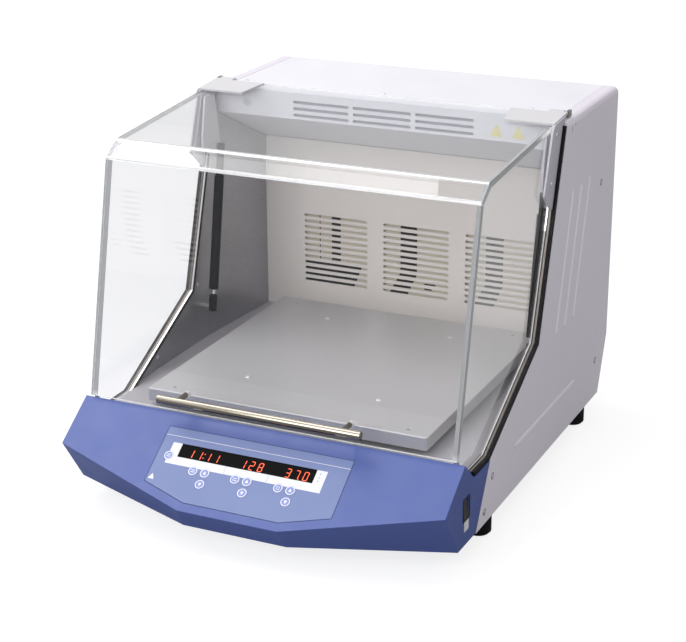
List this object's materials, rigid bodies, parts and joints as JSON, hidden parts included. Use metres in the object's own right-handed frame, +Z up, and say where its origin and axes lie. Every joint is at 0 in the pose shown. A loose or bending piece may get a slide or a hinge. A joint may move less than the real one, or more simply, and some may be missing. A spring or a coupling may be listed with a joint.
{
  "type": "incubating orbital shaker",
  "caption": "Bench-top incubating orbital shaker: sheet-metal housing with a sloping control panel, clear hinged hood on gas springs, and a square orbiting platform in a heated chamber.",
  "frame": {"origin": "on the bench, under the middle of the machine's bounding box", "axes": "+X to the right seen from the front, +Y from the front towards the rear, +Z up"},
  "size_m": [0.582, 0.7466, 0.5301],
  "materials": {
    "side_paint": "satin",
    "top_paint": "satin",
    "chamber_steel": "satin",
    "bracket_paint": "satin",
    "blue_plastic": "satin",
    "panel_film": "satin",
    "key_film": "satin",
    "display": "gloss",
    "circuit_green": "matte",
    "switch_black": "satin",
    "rubber": "matte",
    "acrylic": "polished",
    "steel": "satin",
    "spring_black": "gloss",
    "aluminium": "satin",
    "cast_alloy": "matte"
  },
  "bodies": {
    "housing": {"side_panel_left": "side_paint", "side_panel_right": "side_paint", "top_cover": "top_paint", "rear_panel": "top_paint", "fascia": "top_paint", "base_plate": "steel", "chamber_wall_left": "chamber_steel", "chamber_wall_right": "chamber_steel", "chamber_back": "chamber_steel", "chamber_floor": "chamber_steel", "opening_seal_left": "rubber", "opening_seal_right": "rubber", "foot_front_left": "rubber", "foot_front_right": "rubber", "foot_rear_left": "rubber", "foot_rear_right": "rubber", "control_housing": "blue_plastic", "control_panel": "panel_film", "display_window": "display", "control_board": "circuit_green", "hinge_pin_left": "steel", "hinge_pin_right": "steel", "spring_stud_left": "steel", "spring_stud_right": "steel", "drive_frame": "cast_alloy", "drive_motor": "cast_alloy", "drive_belt": "rubber", "power_supply": "cast_alloy", "fan_motor": "cast_alloy", "heater_element": "steel", "mains_inlet": "switch_black"},
    "hood": {"hood_canopy": "acrylic", "hood_side_left": "acrylic", "hood_side_right": "acrylic", "hinge_bracket_left": "bracket_paint", "hinge_bracket_right": "bracket_paint", "handle_bar": "steel"},
    "spring_rod_left": {"spring_rod_left": "spring_black"},
    "spring_rod_right": {"spring_rod_right": "spring_black"},
    "spring_tube_left": {"spring_tube_left": "spring_black"},
    "spring_tube_right": {"spring_tube_right": "spring_black"},
    "drive": {"eccentric_shaft": "steel", "drive_pulley": "cast_alloy"},
    "platform": {"platform": "aluminium", "platform_carrier": "cast_alloy"},
    "crank_left": {"guide_crank_left": "steel"},
    "crank_right": {"guide_crank_right": "steel"},
    "motor_rotor": {"motor_pulley": "steel"},
    "fan": {"fan_impeller": "cast_alloy"},
    "switch": {"power_switch_rocker": "switch_black"},
    "key_standby": {"key_standby": "key_film"},
    "key_timer_set": {"key_timer_set": "key_film"},
    "key_timer_up": {"key_timer_up": "key_film"},
    "key_timer_down": {"key_timer_down": "key_film"},
    "key_speed_set": {"key_speed_set": "key_film"},
    "key_speed_up": {"key_speed_up": "key_film"},
    "key_speed_down": {"key_speed_down": "key_film"},
    "key_temperature_set": {"key_temperature_set": "key_film"},
    "key_temperature_up": {"key_temperature_up": "key_film"},
    "key_temperature_down": {"key_temperature_down": "key_film"}
  },
  "joints": [
    {"name": "hood_hinge", "type": "hinge", "parent": "housing", "child": "hood", "pos_m": [0, 0.15225, 0.5252], "axis": [-1, 0, 0], "range_deg": [0, 60]},
    {"name": "spring_left_swing", "type": "hinge", "parent": "housing", "child": "spring_rod_left", "pos_m": [-0.2586, 0.06825, 0.183], "axis": [1, 0, 0], "range_deg": [0, 13.7]},
    {"name": "spring_left_stroke", "type": "slide", "parent": "spring_rod_left", "child": "spring_tube_left", "axis": [0, 0.1631, 0.9866], "range_m": [0, 0.08595]},
    {"name": "spring_right_swing", "type": "hinge", "parent": "housing", "child": "spring_rod_right", "pos_m": [0.2586, 0.06825, 0.183], "axis": [1, 0, 0], "range_deg": [0, 13.7]},
    {"name": "spring_right_stroke", "type": "slide", "parent": "spring_rod_right", "child": "spring_tube_right", "axis": [0, 0.1631, 0.9866], "range_m": [0, 0.08595]},
    {"name": "drive_spin", "type": "hinge", "parent": "housing", "child": "drive", "pos_m": [0, 0.02425, 0.0985], "axis": [0, 0, 1], "continuous": true},
    {"name": "platform_orbit", "type": "hinge", "parent": "drive", "child": "platform", "pos_m": [0, 0.01425, 0.1485], "axis": [0, 0, 1], "continuous": true},
    {"name": "crank_left_spin", "type": "hinge", "parent": "housing", "child": "crank_left", "pos_m": [-0.12, 0.02425, 0.0985], "axis": [0, 0, 1], "continuous": true},
    {"name": "crank_right_spin", "type": "hinge", "parent": "housing", "child": "crank_right", "pos_m": [0.12, 0.02425, 0.0985], "axis": [0, 0, 1], "continuous": true},
    {"name": "motor_spin", "type": "hinge", "parent": "housing", "child": "motor_rotor", "pos_m": [0, 0.195, 0.07], "axis": [0, 0, 1], "continuous": true},
    {"name": "fan_spin", "type": "hinge", "parent": "housing", "child": "fan", "pos_m": [0, 0.2995, 0.23], "axis": [0, 1, 0], "continuous": true},
    {"name": "power_switch", "type": "hinge", "parent": "housing", "child": "switch", "pos_m": [0.285, -0.24525, 0.0835], "axis": [0, 1, 0], "range_deg": [0, 10]},
    {"name": "press_standby", "type": "slide", "parent": "housing", "child": "key_standby", "axis": [0, 0.5701, -0.8215], "range_m": [0, 0.0005], "stiffness_N_per_m": 900},
    {"name": "press_timer_set", "type": "slide", "parent": "housing", "child": "key_timer_set", "axis": [0, 0.5701, -0.8215], "range_m": [0, 0.0005], "stiffness_N_per_m": 900},
    {"name": "press_timer_up", "type": "slide", "parent": "housing", "child": "key_timer_up", "axis": [0, 0.5701, -0.8215], "range_m": [0, 0.0005], "stiffness_N_per_m": 900},
    {"name": "press_timer_down", "type": "slide", "parent": "housing", "child": "key_timer_down", "axis": [0, 0.5701, -0.8215], "range_m": [0, 0.0005], "stiffness_N_per_m": 900},
    {"name": "press_speed_set", "type": "slide", "parent": "housing", "child": "key_speed_set", "axis": [0, 0.5701, -0.8215], "range_m": [0, 0.0005], "stiffness_N_per_m": 900},
    {"name": "press_speed_up", "type": "slide", "parent": "housing", "child": "key_speed_up", "axis": [0, 0.5701, -0.8215], "range_m": [0, 0.0005], "stiffness_N_per_m": 900},
    {"name": "press_speed_down", "type": "slide", "parent": "housing", "child": "key_speed_down", "axis": [0, 0.5701, -0.8215], "range_m": [0, 0.0005], "stiffness_N_per_m": 900},
    {"name": "press_temperature_set", "type": "slide", "parent": "housing", "child": "key_temperature_set", "axis": [0, 0.5701, -0.8215], "range_m": [0, 0.0005], "stiffness_N_per_m": 900},
    {"name": "press_temperature_up", "type": "slide", "parent": "housing", "child": "key_temperature_up", "axis": [0, 0.5701, -0.8215], "range_m": [0, 0.0005], "stiffness_N_per_m": 900},
    {"name": "press_temperature_down", "type": "slide", "parent": "housing", "child": "key_temperature_down", "axis": [0, 0.5701, -0.8215], "range_m": [0, 0.0005], "stiffness_N_per_m": 900}
  ],
  "couplings": [
    {"joint": "platform_orbit", "follows": "drive_spin", "ratio": -1},
    {"joint": "crank_left_spin", "follows": "drive_spin", "ratio": 1},
    {"joint": "crank_right_spin", "follows": "drive_spin", "ratio": 1},
    {"joint": "motor_spin", "follows": "drive_spin", "ratio": 3},
    {"joint": "spring_left_swing", "follows": "hood_hinge", "ratio": 0.22794},
    {"joint": "spring_left_stroke", "follows": "hood_hinge", "m_per_rad": 0.08198},
    {"joint": "spring_right_swing", "follows": "hood_hinge", "ratio": 0.22794},
    {"joint": "spring_right_stroke", "follows": "hood_hinge", "m_per_rad": 0.08198}
  ]
}
